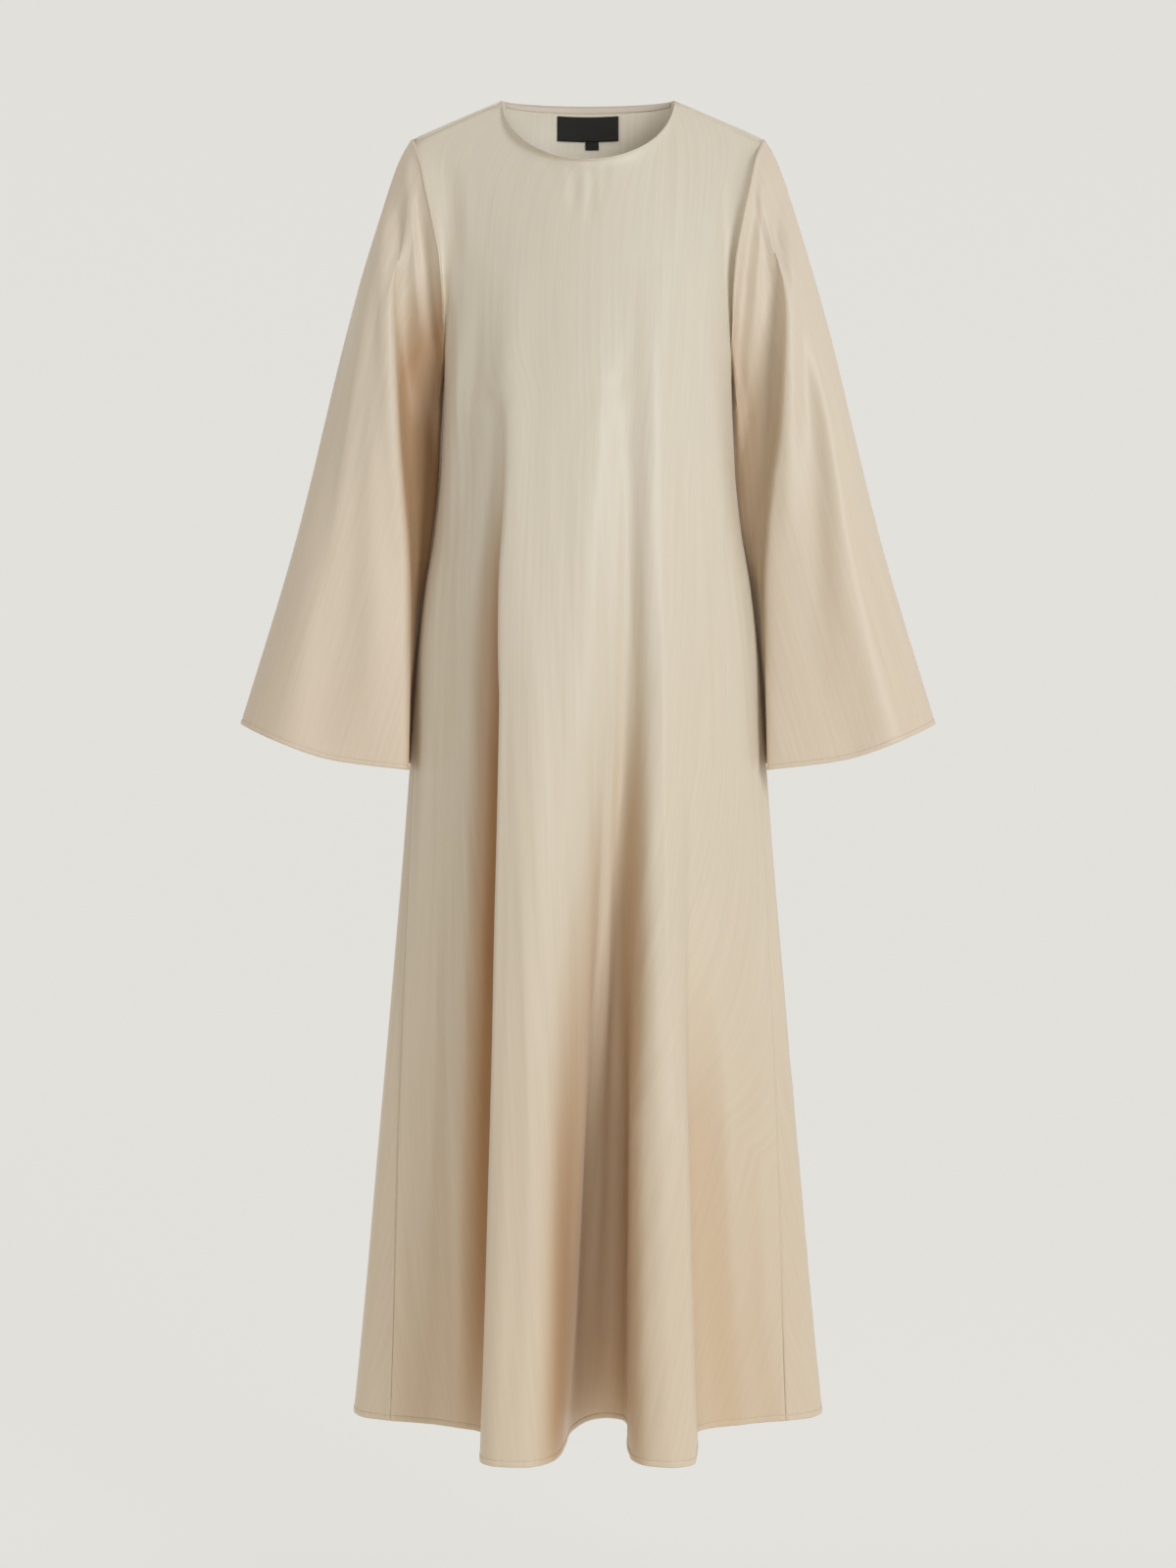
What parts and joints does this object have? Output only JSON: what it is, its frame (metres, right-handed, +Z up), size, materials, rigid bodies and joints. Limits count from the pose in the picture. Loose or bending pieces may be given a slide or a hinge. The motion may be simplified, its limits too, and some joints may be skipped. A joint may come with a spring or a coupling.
{
  "type": "abaya",
  "caption": "Long A-line satin abaya with a round neck and bell sleeves, worn shape with nobody in it, hanging in deep soft folds.",
  "frame": {"origin": "halfway between the high points of the two shoulders, where the wearer carries the garment", "axes": "+Z up, the front faces -Y, +X towards the viewer's right"},
  "size_m": [0.7256, 0.3456, 1.383],
  "materials": {
    "cloth": "satin crepe with a soft sheen",
    "binding": "satin crepe with a soft sheen",
    "label": "matte woven"
  },
  "bodies": {
    "root": {"front": "cloth", "back": "cloth", "sleeve_left": "cloth", "sleeve_right": "cloth", "back_neck_binding": "binding", "label": "label", "size_tab": "label"}
  },
  "joints": []
}
